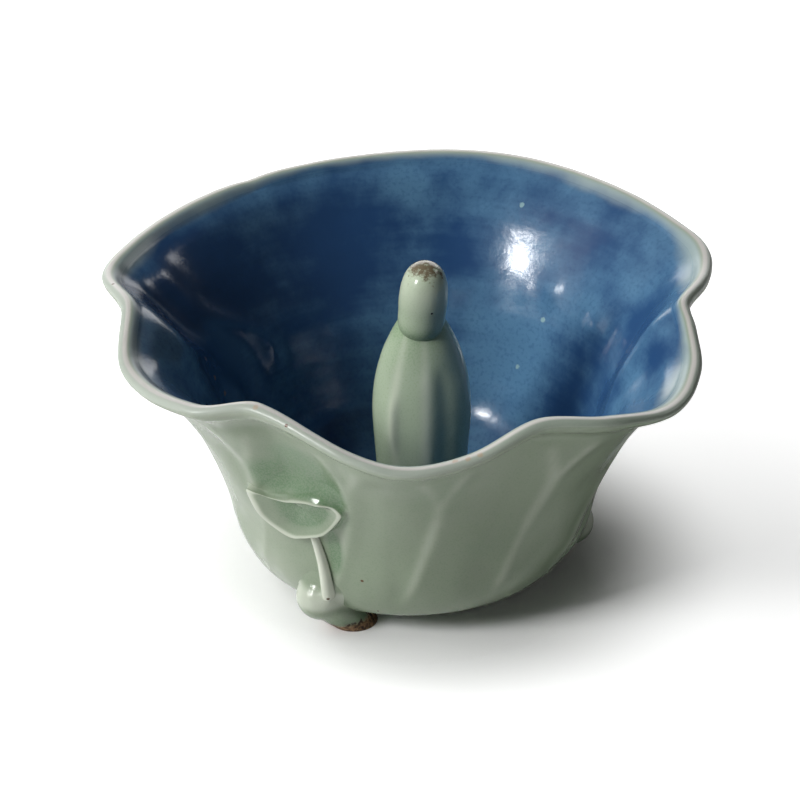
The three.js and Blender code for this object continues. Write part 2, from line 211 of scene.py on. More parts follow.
# %% Turning, and finishing a piece
def turned(profile, steps, place):
    """Spins a profile of (radius, height), then moves each corner to its place.

    The place is a function of a corner's radius, height, angle and row in the profile.
    """
    bm = bmesh.new()
    rows = bm.verts.layers.float.new("row")
    corners = []
    closed = profile[0] == profile[-1]
    for row, (radius, height) in enumerate(profile[:-1] if closed else profile):
        corner = bm.verts.new((radius, 0, height))
        corner[rows] = row
        corners.append(corner)
    for a, b in zip(corners, corners[1:]):
        bm.edges.new((a, b))
    if closed:
        bm.edges.new((corners[-1], corners[0]))
    bmesh.ops.spin(
        bm,
        geom=bm.verts[:] + bm.edges[:],
        cent=(0, 0, 0),
        axis=(0, 0, 1),
        angle=2 * math.pi,
        steps=steps,
        use_merge=True,
    )
    bmesh.ops.remove_doubles(bm, verts=bm.verts[:], dist=1e-4)
    bmesh.ops.recalc_face_normals(bm, faces=bm.faces[:])
    for v in bm.verts:
        radius = math.hypot(v.co.x, v.co.y)
        v.co = place(radius, v.co.z, math.atan2(v.co.y, v.co.x), round(v[rows]))
    return bm


def straight(radius, height, angle, row=0):
    return Vector((radius * math.cos(angle), radius * math.sin(angle), height))


def finished(bm, name, material, slot, *nodes):
    """Fires a piece: turns it into metres in the frame and lets it stand for its CAD nodes."""
    bmesh.ops.scale(bm, vec=(MM, MM, MM), verts=bm.verts[:])
    bmesh.ops.translate(bm, vec=AXIS, verts=bm.verts[:])
    for face in bm.faces:
        face.smooth = True
    mesh = bpy.data.meshes.new(name)
    bm.to_mesh(mesh)
    bm.free()
    mesh.materials.append(material)
    piece = bpy.data.objects.new(name, mesh)
    scene.collection.objects.link(piece)
    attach(piece, "root")
    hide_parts(*nodes)
    print(name, len(mesh.polygons), "faces")
    return piece


# %% [markdown]
# ## Glaze
# Celadon is a clear green glass over grey porcelain. It runs off edges and ridges, where it fires
# pale, and pools in hollows, where it fires green. A material could fake that with noise alone, but
# the eye expects the pale line to follow the form. So each piece carries attributes that say how far
# the glaze has run off there and how deep it pools, and the nodes mix their colours by them. These
# also carry painted light and shade: on the bowl's lip and belly, and under the figure's chin.

# %% A small kit for node materials
GLASS_IOR = 1.5


class Nodes:
    """Builds a material's nodes, and joins them by name."""

    def __init__(self, name):
        self.material = bpy.data.materials.new(name)
        self.material.use_nodes = True
        self.tree = self.material.node_tree
        self.shader = self.tree.nodes["Principled BSDF"]

    def add(self, kind, settings=None, **inputs):
        node = self.tree.nodes.new(kind)
        for key, value in (settings or {}).items():
            setattr(node, key, value)
        for key, value in inputs.items():
            self.feed(node, key.replace("_", " "), value)
        return node

    def feed(self, node, key, value):
        """Links or sets an input, given by its name, or by i and its number."""
        by_number = key[0] == "i" and key[1:].isdigit()
        socket = node.inputs[int(key[1:]) if by_number else key]
        if isinstance(value, bpy.types.NodeSocket):
            self.tree.links.new(value, socket)
        else:
            socket.default_value = value

    def math(self, operation, a, b=0.0, c=0.0):
        node = self.add("ShaderNodeMath", {"operation": operation}, i0=a, i1=b, i2=c)
        return node.outputs[0]

    def mix(self, factor, a, b):
        node = self.add("ShaderNodeMix", {"data_type": "RGBA"})
        for index, value in ((0, factor), (6, a), (7, b)):
            self.feed(node, f"i{index}", value)
        return node.outputs[2]

    def ramp(self, value, low, high, to_low=0.0, to_high=1.0):
        settings = {"interpolation_type": "SMOOTHSTEP"}
        ends = {"i1": low, "i2": high, "i3": to_low, "i4": to_high}
        return self.add("ShaderNodeMapRange", settings, i0=value, **ends).outputs[0]

    def coordinates(self, scale=(1, 1, 1)):
        place = self.add("ShaderNodeTexCoord").outputs["Object"]
        return self.add("ShaderNodeMapping", None, Vector=place, Scale=scale).outputs[0]

    def level(self):
        """Height above the table, in metres."""
        return self.add("ShaderNodeSeparateXYZ", None, i0=self.coordinates()).outputs[2]

    def noise(self, scale, detail=2.0, roughness=0.5, stretch=(1, 1, 1)):
        node = self.add("ShaderNodeTexNoise", None, Scale=scale, Detail=detail, Roughness=roughness)
        self.feed(node, "Vector", self.coordinates(stretch))
        return node.outputs[0]

    def attribute(self, name):
        return self.add("ShaderNodeAttribute", {"attribute_name": name}).outputs["Fac"]

    def away_from(self, place):
        """Distance from a point given in millimetres round the cup's axis."""
        point = AXIS + Vector(place) * MM
        distance = {"operation": "DISTANCE"}
        node = self.add("ShaderNodeVectorMath", distance, i0=self.coordinates(), i1=point)
        return node.outputs["Value"]

    def spots(self, places, radius):
        """1 in small uneven spots at the places, and 0 elsewhere."""
        size = radius * MM
        wobble = self.math("MULTIPLY", self.noise(2500.0), size)
        total = 0.0
        for place in places:
            away = self.math("ADD", self.away_from(place), wobble)
            spot = self.ramp(away, 1.1 * size, 1.6 * size, 1.0, 0.0)
            total = self.math("MAXIMUM", spot, total)
        return total

    def patches(self, places):
        """The sum of soft round patches, each a place, a radius in millimetres and a strength."""
        total = 0.0
        for place, radius, strength in places:
            patch = self.ramp(self.away_from(place), 0.0, radius * MM, strength, 0.0)
            total = self.math("ADD", total, patch)
        return total

    def finish(self, color, roughness, bumps):
        """Joins colour, roughness and a chain of bumps of (height, strength, distance)."""
        normal = None
        for height, strength, distance in bumps:
            node = self.add("ShaderNodeBump", None, Height=height, Strength=strength, Distance=distance)
            if normal:
                self.feed(node, "Normal", normal)
            normal = node.outputs[0]
        self.feed(self.shader, "Base Color", color)
        self.feed(self.shader, "Roughness", roughness)
        if normal:
            self.feed(self.shader, "Normal", normal)
        self.shader.inputs["IOR"].default_value = GLASS_IOR
        print(self.material.name, "has", len(self.tree.nodes), "nodes")
        return self.material


def shade(red, green, blue):
    """A colour as seen on screen, 0 to 255, turned into the light values that a shader takes."""
    linear = []
    for c in (red, green, blue):
        linear.append(((c / 255 + 0.055) / 1.055) ** 2.4 if c > 10 else c / 255 / 12.92)
    return (*linear, 1.0)


# %% Colours of the glazes
# Each celadon is a pale, a middle and a pooled tone
WALL_GLAZE = (shade(178, 185, 170), shade(130, 143, 122), shade(98, 124, 94))
FIGURE_GLAZE = (shade(202, 209, 190), shade(166, 181, 156), shade(122, 148, 112))
SPRAY_GLAZE = (shade(200, 205, 190), WALL_GLAZE[1], WALL_GLAZE[2])
IRON = shade(86, 62, 40)
BISCUIT = shade(150, 118, 84)
GRIT = shade(52, 38, 28)
PINPRICK = shade(20, 16, 14)
COBALT = shade(78, 117, 148)
DEEP_COBALT = shade(36, 68, 108)
MILKY_BLUE = shade(128, 160, 166)
# Where the two glazes meet: the blue's milky edge, the roll of the lip and the line on its crest
MILKY_EDGE = shade(142, 158, 157)
LIP_ROLL = shade(152, 160, 158)
LIP_CREST = shade(202, 198, 194)
# Iron that has bled through the glaze, on the lip and inside
STAIN = shade(176, 136, 96)
STREAK_BROWN = shade(126, 96, 72)


def celadon_color(nodes, glaze, paler=0.0):
    """Celadon by how thin the glaze lies, painted light and shade included, with cloudy pooling and a
    fine speckle in the glass.
    """
    pale, middle, pooled_and_painted_shade = glaze
    clouds = nodes.noise(70.0, 3.0)
    cloudy = nodes.math("MULTIPLY_ADD", clouds, 0.5, paler - 0.25)
    thinness_and_painted_light = nodes.math("ADD", nodes.attribute("thin_and_painted_light"), cloudy)
    depth = nodes.math("ADD", nodes.noise(45.0, 4.0), nodes.attribute("pool_and_painted_shade"))
    speckle = nodes.noise(3600.0, 1.0)
    color = nodes.mix(nodes.ramp(speckle, 0.5, 0.72, 0.0, 0.25), middle, pooled_and_painted_shade)
    color = nodes.mix(nodes.ramp(thinness_and_painted_light, 0.05, 1.0), color, pale)
    mottled = nodes.mix(nodes.ramp(speckle, 0.35, 0.65, 0.38, 0.0), pooled_and_painted_shade, middle)
    return nodes.mix(nodes.ramp(depth, 0.55, 0.95), color, mottled)


# %% [markdown]
# ## The bowl
# The potter throws a plain flared bowl and, while it is soft, presses it into the leaf: lobes reach
# out and droop, and the folds between them pinch in and stand up. The same pressing is a formula
# here. Nothing moves at the base, and the pull grows to its full value at the lip. A low power takes
# a fold far down the wall, and a high power keeps a lobe's flare near the lip.

# %% Pressing the thrown wall
def pressed(radius, height, angle):
    share = max(0.0, (height - BASE_HEIGHT) / (RIM_HEIGHT - BASE_HEIGHT))
    pull = rim_reach(angle / DEGREE) / RIM_REACH - 1
    lift = rim_height(angle / DEGREE) - RIM_HEIGHT
    r = radius * (1 + pull * share ** (FOLD_DEPTH if pull < 0 else LOBE_FLARE))
    slump = 4 * BELLY_SHIFT * share * (1 - share)
    return straight(r, height + lift * share**DROOP, angle) + Vector((slump, 0, 0))


# %% [markdown]
# ### Veins
# Each vein could be a string of clay laid on the wall, but these are soft, fork, and sink back into
# it. So a vein is a rise of the wall's own corners, and it tells the glaze where it runs thin.

# %% Veins on the outside
# Where each crosses under the lip, in degrees. They curve as they rise, and fork under the lip.
VEINS = [2, 31, 59, 87, 115, 143, 171, 199, 226, 254, 277.7, 306.5, 334]
VEIN_RISE = 0.3
VEIN_WIDTH = 2.6  # degrees, as the next two
VEIN_FORK = 4.4
VEIN_LEAN = 7
UPRIGHT_ABOVE = 37  # height where a vein stops leaning
LEAN_OVER = 25  # and how far below that its lean is full
FORK_HEIGHTS = (31, 41)  # from where the branches part to where they run side by side
RISE_HEIGHTS = (5, 12)  # a vein grows out of the wall here,
SINK_HEIGHTS = (39, 44)  # and sinks back into it here
VEIN_PALENESS = 0.42
VEIN_SHARPNESS = 1.5  # the pale line is narrower than the vein, by this power


def vein_crest(height, angle):
    """1 on the crest of a vein, falling to 0 beside it."""
    degrees = angle / DEGREE
    lean = VEIN_LEAN * (max(UPRIGHT_ABOVE - height, 0) / LEAN_OVER) ** 2
    fork = VEIN_FORK * smoothstep(height, *FORK_HEIGHTS)
    crest = 0.0
    for vein in VEINS:
        for branch in (vein - lean - fork, vein - lean + fork):
            away = abs(degrees_between(degrees, branch))
            if away < 3 * VEIN_WIDTH:
                crest = max(crest, bump(away, VEIN_WIDTH))
    return crest * smoothstep(height, *RISE_HEIGHTS) * (1 - smoothstep(height, *SINK_HEIGHTS))


def vein_thin(height, angle):
    """How thin the glaze lies on a vein."""
    return VEIN_PALENESS * vein_crest(height, angle) ** VEIN_SHARPNESS


print("the wall has", len(VEINS), "veins")

# %% [markdown]
# ### What the hands leave in the clay
# The pressed wall is still too perfect. Fingers leave rolls of clay inside the folds, air leaves
# blisters, and the wall is never quite even. Sculpting these would tie them to one mesh, and a bump
# map would leave the outline smooth. Each is written as a rise at a place on the wall, so the mesh
# itself carries it.

# %% Rolls, blisters and unevenness
# Rolls of clay inside, below the two side folds, that wander as they go down: three stations of
# height and angle, then the rise in millimetres and the half width in degrees
ROLLS = [
    ((24, 163), (33, 172), (41, 187), 1.0, 6),
    ((27, 140), (39, 160), (49, 164), 0.7, 4.5),
    ((30, -14), (36, -10), (43, -9), 0.9, 4.5),
]
# Blisters on the inside: angle, height, rise and half width in millimetres
BLISTERS = [(47.9, 33.9, 0.45, 2), (56, 32.8, 0.14, 1.5), (29, 32.8, 0.8, 2.4), (15.3, 35.3, 0.6, 2)]


def uneven(angle, height, fineness, seed):
    """Slow unevenness that runs on round the cup, about -0.5 to 0.5."""
    x = fineness * math.cos(angle)
    y = fineness * math.sin(angle)
    return noise.noise(Vector((x, y, seed + height / 10)))


def roll_crest(height, degrees):
    """How far the rolls stand out, fading below their lowest station and before the lip."""
    rise = 0.0
    for (low, start), (mid, between), (high, end), tall, width in ROLLS:
        middle = start + (between - start) * smoothstep(height, low, mid)
        middle += (end - between) * smoothstep(height, mid, high)
        shown = smoothstep(height, low - 8, low + 2) * (1 - smoothstep(height, min(high, 44), 47))
        rise += tall * shown * bump(degrees_between(degrees, middle), width)
    return rise


def blister_crest(height, degrees):
    """How far the blisters stand out."""
    rise = 0.0
    for middle, level, tall, width in BLISTERS:
        across = degrees_between(degrees, middle) * DEGREE * RIM_REACH * 0.8
        rise += tall * bump(math.hypot(across, height - level), width)
    return rise


print(len(ROLLS), "rolls and", len(BLISTERS), "blisters")

# %% The wall, with its veins, groove and throwing rings
WALL_STEPS = 300
GROOVE_HEIGHT = 42.2  # a soft groove under the lip, in front only
GROOVE_WIDTH = 1.4
GROOVE_DEPTH = 0.3
RING_RISE = 0.012
RING_WAVE = 2.1  # radians for each millimetre of height, so a ring about every 3 mm
NICK_ANGLE = 125.5  # a chip in the lip at the back left
NICK_DEPTH = 0.22
NICK_WIDTH = 2.6

skin = smooth_line(SKIN, 8)
lip = smooth_line([SKIN[-1], *LIP, INSIDE[0]], 3)[1:-1]
hollow = smooth_line(INSIDE, 8)
wall_profile = [tuple(p) for p in [*skin, *lip, *hollow]]
LIP_ROW = len(skin) + len(lip) // 2


def skin_rise(height, angle):
    """How far the outside stands out from the plain wall: veins, groove and unevenness."""
    from_behind = abs(degrees_between(angle / DEGREE, 90))
    groove = bump(height - GROOVE_HEIGHT, GROOVE_WIDTH) * smoothstep(from_behind, 80, 120)
    uneasy = 0.7 * uneven(angle, height, 2.6, 0) + 0.2 * uneven(angle, height, 8, 3)
    rise = VEIN_RISE * vein_crest(height, angle) - GROOVE_DEPTH * groove
    return rise + uneasy * smoothstep(height, 4, 10)


def wall_place(radius, height, angle, row):
    degrees = angle / DEGREE
    if row < len(skin):
        rise = skin_rise(height, angle)
    elif row < len(skin) + len(lip):
        rise = skin_rise(height, angle) * (1 - (row - len(skin) + 1) / (len(lip) + 1))
        height -= NICK_DEPTH * bump(degrees_between(degrees, NICK_ANGLE), NICK_WIDTH)
    else:
        rings = RING_RISE * math.sin(RING_WAVE * height + angle)
        soft = 0.35 * uneven(angle, height, 3, 5)
        rise = (rings + soft) * smoothstep(46 - height, 0, 6) * smoothstep(height, 6.5, 9)
        rise -= roll_crest(height, degrees) + blister_crest(height, degrees)
    return pressed(max(radius + rise, 0), height, angle)


bowl_mesh = turned(wall_profile, WALL_STEPS, wall_place)
print("the wall has", len(wall_profile), "rings of", WALL_STEPS)

# %% [markdown]
# ### How thick the glaze lies
# Glaze is thin on the lip and the veins, and thick round each small leaf. Every corner knows its
# ring and its angle, so the amounts are worked out there and kept as attributes of the mesh. A
# painted picture would need a flat map of the wall first. The thinness also carries painted shade
# on the lip at the front right and painted light on the belly at the front left.

# %% How far each ring lies from the crest of the lip
distance_in = [0.0] * len(wall_profile)
for row in range(LIP_ROW + 1, len(wall_profile)):
    step = math.dist(wall_profile[row], wall_profile[row - 1])
    distance_in[row] = distance_in[row - 1] + step
for row in range(LIP_ROW - 1, -1, -1):
    step = math.dist(wall_profile[row], wall_profile[row + 1])
    distance_in[row] = distance_in[row + 1] - step
print("the inside is", round(distance_in[-1], 1), "mm from the lip to the middle of the floor")

# %% Green pools round the small leaves
# Each spray: degrees that it is turned from the front one, and degrees that its leaf sways more
SPRAYS = {"front": (0, 0), "right": (122, 30), "back": (240, 0)}
LEAF_ANGLE = 240  # the front leaf's middle on the wall, in degrees
LEAF_HEIGHT = 25.6
# Pools: degrees and height from the leaf's middle, then half width in degrees and half height
POOLS = [(1, 8, 9, 6), (10, 3.5, 4, 6), (-8, 5.5, 7, 4), (7, -8, 2.5, 5)]
POOL_DEPTH = 0.68


def pooling(degrees, height):
    """1 in the middle of a pool of glaze, falling to 0 round it."""
    depth = 0.0
    for turn, sway in SPRAYS.values():
        for across, up, wide, tall in POOLS:
            around = degrees_between(degrees, LEAF_ANGLE + turn + sway + across)
            above = height - LEAF_HEIGHT - up
            depth = max(depth, bump(math.hypot(around / wide, above / tall), 1))
    return depth


# %% Writing the glaze's thickness on the wall
# The milky edge of the blue is 1 mm wide, and wider on some lobes: middle in degrees, extra
# width in millimetres, spread in degrees
MILKY_EDGES = [
    (13, 3.0, 10),
    (332, 2.4, 11),
    (165, 1.4, 8),
    (208, 1.5, 14),
    (48, 1.0, 16),
    (142, 1.2, 14),
]
LIP_PALENESS = 0.8

rows = bowl_mesh.verts.layers.float["row"]
inward = bowl_mesh.verts.layers.float.new("inward")
milky = bowl_mesh.verts.layers.float.new("milky")
thin_and_painted_light = bowl_mesh.verts.layers.float.new("thin_and_painted_light")
pool_and_painted_shade = bowl_mesh.verts.layers.float.new("pool_and_painted_shade")
for v in bowl_mesh.verts:
    row = round(v[rows])
    v[inward] = distance_in[row]
    height = wall_profile[row][1]
    angle = math.atan2(v.co.y, v.co.x)
    degrees = angle / DEGREE
    width = 1.0
    for middle, extra, spread in MILKY_EDGES:
        width += extra * bump(degrees_between(degrees, middle), spread)
    v[milky] = distance_in[row] / width
    # the lip is pale, but less so at the front right, where it faces away from the lamps: painted shade
    painted_shade_on_lip = 1 - 0.85 * bump(degrees_between(degrees, 325), 55)
    on_lip = LIP_PALENESS * painted_shade_on_lip * bump(distance_in[row] + 1.0, 2.2)
    # the belly is paler at the front left, where it faces the softbox: painted light
    painted_light_on_belly = 0.35 * bump(degrees_between(degrees, 222), 15) * (1 - smoothstep(height, 18, 30))
    on_vein = vein_thin(height, angle) if row < len(skin) else 0.0
    v[thin_and_painted_light] = max(on_lip, on_vein, painted_light_on_belly)
    v[pool_and_painted_shade] = POOL_DEPTH * pooling(degrees, height) if row < len(skin) else 0.0
print("four attributes are written on", len(bowl_mesh.verts), "corners")

# %% [markdown]
# ### Two glazes on one wall
# The inside is cobalt blue and the outside celadon, and they meet on the lip, where both run thin
# and turn milky. Two materials would give that line a hard edge along the mesh's faces. One
# material that reads each point's distance from the lip can fade one glaze into the other, and a
# little noise on that distance makes the edge as ragged as a dipped glaze.

# %% Patches, dots and stains in the bowl's glazes
# Patches in the cobalt: place, radius and how much paler it is there. The two wide dark ones at
# the left of the inside are painted shade, where that wall faces away from the lamps
COBALT_PATCHES_AND_PAINTED_SHADE = [
    ((18, 24, 22), 15, 0.22),
    ((0, 41, 47), 6, 0.3),
    ((31, 30, 47), 9, 0.15),
    ((28, 20, 34), 9, 0.18),
    ((8, 35, 37), 8, -0.2),
    ((22, 32, 41), 9, 0.2),
    ((37, 8, 38), 8, -0.25),
    ((39, -11, 42), 5, -0.3),
    ((-32, 12, 36), 20, -0.4),
    ((-12, 28, 36), 18, -0.25),
]
MILKY_DOTS = [(18.7, 36.7, 44.7), (22.1, 23.9, 30.1), (17.9, 23.4, 21.5)]
PINHOLES = [
    (-22.1, -23.6, 24.6),
    (-18.9, -22.9, 17.2),
    (-4.8, -26.1, 5.6),
    (-7.2, -27.9, 12.5),
    (-46.3, 2.1, 48.5),
    (-18.1, -38.6, 46.6),
]
# Iron has bled through the glaze on the lip, and down one roll of clay inside
STAINS = [(8.7, -44.3, 44.3), (10.5, -43.8, 44.7), (6.8, -44.4, 44), (-22.7, -35.2, 47.8)]
STREAK = [(-32.2, 4.2, 33.9), (-30.8, 3.1, 31), (-29.4, 4.8, 27.2)]
print(len(COBALT_PATCHES_AND_PAINTED_SHADE), "patches,", len(MILKY_DOTS + PINHOLES), "dots,", len(STAINS + STREAK), "stains")

# %% Cobalt, in clouds and brushed bands, with painted shade at the left
nodes = Nodes("celadon_and_cobalt")
tone = nodes.patches(COBALT_PATCHES_AND_PAINTED_SHADE)
for share, cloud in (
    (0.9, nodes.noise(50.0, 3.0, 0.55)),
    (0.45, nodes.noise(170.0, 4.0, 0.6)),
    (0.3, nodes.noise(30.0, 3.0, 0.6, stretch=(1, 1, 14))),
):
    tone = nodes.math("MULTIPLY_ADD", cloud, share, tone)
inside = nodes.mix(nodes.ramp(tone, 0.62, 1.06), DEEP_COBALT, COBALT)
grain = nodes.ramp(nodes.noise(1600.0, 2.0), 0.45, 0.75, 0.0, 0.3)
inside = nodes.mix(grain, inside, DEEP_COBALT)
inside = nodes.mix(nodes.spots(MILKY_DOTS, 0.5), inside, MILKY_BLUE)
ragged = nodes.math("MULTIPLY_ADD", nodes.noise(110.0, 3.0), 1.6, -0.8)
fade = nodes.ramp(nodes.math("ADD", nodes.attribute("milky"), ragged), 0.2, 1.7)
inside = nodes.mix(fade, MILKY_EDGE, inside)

# %% Glaze of the bowl, from the celadon over the lip to the cobalt
from_crest = nodes.attribute("inward")
color = nodes.mix(nodes.ramp(from_crest, 0.1, 0.9), celadon_color(nodes, WALL_GLAZE), inside)
from_roll = nodes.math("ABSOLUTE", nodes.math("ADD", from_crest, 1.0))
color = nodes.mix(nodes.ramp(from_roll, 0.3, 1.6, 0.4, 0.0), color, LIP_ROLL)
from_line = nodes.math("ABSOLUTE", nodes.math("ADD", from_crest, 0.2))
color = nodes.mix(nodes.ramp(from_line, 0.15, 0.6, 0.8, 0.0), color, LIP_CREST)
stained = nodes.math("MULTIPLY", nodes.spots(STAINS, 0.5), 0.4)
color = nodes.mix(stained, color, STAIN)
streaked = nodes.math("MULTIPLY", nodes.spots(STREAK, 0.5), 0.6)
color = nodes.mix(streaked, color, STREAK_BROWN)
color = nodes.mix(nodes.spots(PINHOLES, 0.3), color, IRON)
rough = nodes.ramp(nodes.math("ABSOLUTE", from_crest), 0.5, 3.5, 0.34, 0.19)
peel = nodes.noise(240.0, 2.0)
orange_skin = nodes.noise(1500.0, 2.0)
bowl_glaze = nodes.finish(color, rough, [(peel, 0.1, 0.0006), (orange_skin, 0.15, 0.00012)])

bowl = finished(bowl_mesh, "leaf_bowl_glazed", bowl_glaze, "celadon_bowl", "leaf_bowl")

# %% [markdown]
# ## The drain
# The wall's profile closes on the axis, so the floor has no hole yet. The siphon's tube passes
# through it. A boolean with a short cylinder cuts the hole as a potter's hole cutter would.

# %% Cutting with another shape
def cut(piece, tool_mesh):
    """Cuts the piece with a closed shape given in millimetres, and throws the shape away."""
    bmesh.ops.scale(tool_mesh, vec=(MM, MM, MM), verts=tool_mesh.verts[:])
    bmesh.ops.translate(tool_mesh, vec=AXIS, verts=tool_mesh.verts[:])
    mesh = bpy.data.meshes.new("cutter")
    tool_mesh.to_mesh(mesh)
    tool_mesh.free()
    tool = bpy.data.objects.new("cutter", mesh)
    scene.collection.objects.link(tool)
    modifier = piece.modifiers.new("cut", "BOOLEAN")
    modifier.operation = "DIFFERENCE"
    modifier.object = tool
    view = bpy.context.evaluated_depsgraph_get()
    whole = bpy.data.meshes.new_from_object(piece.evaluated_get(view))
    piece.modifiers.clear()
    piece.data = whole
    bpy.data.objects.remove(tool)
    print(piece.name, "is cut, with", len(whole.polygons), "faces")


drain = PIPE_RADIUS + DRAIN_PLAY
hole = turned([(0, -1), (drain, -1), (drain, 8), (0, 8)], 48, straight)
bmesh.ops.translate(hole, vec=(FIGURE_X, 0, 0), verts=hole.verts[:])
cut(bowl, hole)

# %% [markdown]
# ## The figure
# The robe is a thin shell, turned on the wheel as a small bottle and closed to a crown. Its oval
# section and soft folds come from moving the turned corners. The hem spreads into a skirt of glaze
# where it meets the floor.

# %% Robe
ROBE = [
    (8.6, 6.3),
    (7.8, 6.9),
    (7.35, 8.4),
    (7.1, 11.5),
    (7.3, 18),
    (7.85, 27),
    (7.5, 32.4),
    (6.5, 36.9),
    (5.2, 40.3),
    (3.9, 42.9),
    (2.6, 44.4),
    (0, 45),
]
CHAMBER = [(0, 41), (2.4, 40.2), (4.2, 36.8), (5.5, 32), (5.9, 27), (5.5, 18), (5.3, 11.5), (5.6, 6.3)]
# Folds: degrees round the figure, lowest and highest height, rise and half width in degrees
ROBE_FOLDS = [
    (229, 20, 35, 0.5, 13),
    (236, 20, 34, 0.35, 5),
    (275, 6, 39, 0.35, 15),
    (299, 6, 39, -0.35, 12),
    (331, 10, 38, 0.3, 13),
    (338, 22, 33, 0.3, 5),
]


def draped(radius, height, angle, folded):
    """A place on the robe: its oval section, with the folds on its outside."""
    r = radius
    for middle, low, high, rise, width in ROBE_FOLDS if folded else ():
        away = degrees_between(angle / DEGREE, middle)
        shown = smoothstep(height, low, low + 5.5) * (1 - smoothstep(height, high - 5.5, high))
        r += rise * shown * bump(away, width)
    return Vector((FIGURE_X + r * math.cos(angle), ROBE_DEPTH * r * math.sin(angle), height))


outside_line = smooth_line(ROBE, 8)
chamber_line = smooth_line(CHAMBER, 4)
robe_profile = [tuple(p) for p in [*outside_line, *chamber_line]]
robe_profile.append(robe_profile[0])


def robe_place(radius, height, angle, row):
    return draped(radius, height, angle, row < len(outside_line))


robe_mesh = turned(robe_profile, 128, robe_place)


def mark_thin(bm, thinness_and_painted_light, pooled_and_painted_shade):
    """Writes the thin and pool attributes of a piece by functions of a corner's place; the pool can
    also carry painted shade.
    """
    thin_and_painted_light = bm.verts.layers.float.new("thin_and_painted_light")
    pool_and_painted_shade = bm.verts.layers.float.new("pool_and_painted_shade")
    for v in bm.verts:
        v[thin_and_painted_light] = thinness_and_painted_light(v.co)
        v[pool_and_painted_shade] = pooled_and_painted_shade(v.co)


def robe_thin(p):
    """The glaze runs thin on three folds of the robe."""
    angle = math.atan2(p.y / ROBE_DEPTH, p.x - FIGURE_X) / DEGREE
    ridges = max(bump(degrees_between(angle, middle), 9) for middle in (236, 275, 338))
    return 0.55 * ridges * smoothstep(p.z, 12, 22)


# the top of the robe, under the chin, is deeper green: pooled glaze and painted shade
mark_thin(robe_mesh, robe_thin, lambda p: 0.16 + 0.14 * smoothstep(p.z, 40, 43))
nodes = Nodes("celadon_robe")
robe_glaze = nodes.finish(
    celadon_color(nodes, FIGURE_GLAZE), 0.18, [(nodes.noise(420.0, 2.0), 0.15, 0.0005)]
)
robe = finished(robe_mesh, "robe_glazed", robe_glaze, "celadon_robe", "robe_shell")

# %% [markdown]
# ### The way in
# The drink enters the robe through a small arch in its hem. The potter cuts it with a wire. Here a
# turned cylinder lies on its side, and its lower half is pulled down to make the arch's straight
# legs, so one boolean cuts the whole shape.

# %% The arch in the hem, behind, that lets the drink in
half = INLET_WIDTH / 2
ARCH_LENGTH = 10  # enough to reach out of the robe's back
lying = Matrix.Rotation(-90 * DEGREE, 3, "X")
arch = turned([(0, 0), (half, 0), (half, ARCH_LENGTH), (0, ARCH_LENGTH)], 24, straight)
bmesh.ops.rotate(arch, cent=(0, 0, 0), matrix=lying, verts=arch.verts[:])
for v in arch.verts:
    if v.co.z < 0:
        v.co.z = v.co.z - INLET_HEIGHT
springing = FLOOR_HEIGHT + INLET_HEIGHT - half
bmesh.ops.translate(arch, vec=(FIGURE_X, 0, springing), verts=arch.verts[:])
cut(robe, arch)

# %% [markdown]
# ### The head
# The head is a plain hooded lump of clay, glazed over so thickly that it has no features. A turned
# egg has the right softness. Its lower end is rounded and sits in front of the shoulders, so the
# chin throws a shadow, and the whole egg leans a little forwards. Below the chin the glaze is also
# painted deeper green, as painted shade. On the crown the glaze has worn to the iron-brown body,
# which is a mask by height with a ragged edge.

# %% Head
HEAD = [
    (0, -0.1),
    (1.8, 0),
    (2.9, 0.5),
    (3.5, 1.5),
    (3.7, 2.8),
    (3.75, 4.4),
    (3.85, 6.4),
    (3.6, 9),
    (2.85, 11),
    (1.6, 12.2),
    (0, 12.6),
]
HEAD_DEPTH = 1.1
HEAD_FOOT = Vector((1.75, -0.9, 40.9))
WORN_FROM = 51.6  # height above which the crown is worn to the body
WORN_TO = 53.3
LEAN = Matrix.Rotation(5 * DEGREE, 3, "Y") @ Matrix.Rotation(-5 * DEGREE, 3, "X")


def head_place(radius, height, angle, row):
    oval = Vector((radius * math.cos(angle), HEAD_DEPTH * radius * math.sin(angle), height))
    return LEAN @ oval + HEAD_FOOT


head_mesh = turned([tuple(p) for p in smooth_line(HEAD, 7)], 72, head_place)
# the glaze runs thin towards the crown; the chin is deeper green: pooled glaze and painted shade
mark_thin(
    head_mesh,
    lambda p: 0.35 * smoothstep(p.z, 44, 50),
    lambda p: 0.3 - 0.25 * smoothstep(p.z, 42, 45),
)
nodes = Nodes("celadon_head")
color = celadon_color(nodes, FIGURE_GLAZE, 0.1)
ragged = nodes.math("MULTIPLY_ADD", nodes.noise(900.0, 4.0, 0.75), 0.008, -0.004)
worn = nodes.math("ADD", nodes.level(), ragged)
color = nodes.mix(nodes.ramp(worn, WORN_FROM * MM, WORN_TO * MM, 0.0, 0.85), color, IRON)
color = nodes.mix(nodes.spots([(3.6, -4.3, 46.7)], 0.2), color, PINPRICK)
head_glaze = nodes.finish(color, 0.18, [(nodes.noise(500.0, 2.0), 0.12, 0.0004)])
finished(head_mesh, "head_glazed", head_glaze, "celadon_head", "figure_head")

# %% [markdown]
# ### The siphon's tube
# The tube carries the secret: once the drink stands above its top, all of it runs out below. It
# isn't seen from outside, but a cup without it would be a model of something else. Its profile goes
# up the outside, over a rounded end and down the bore, so one spin makes wall and bore together.

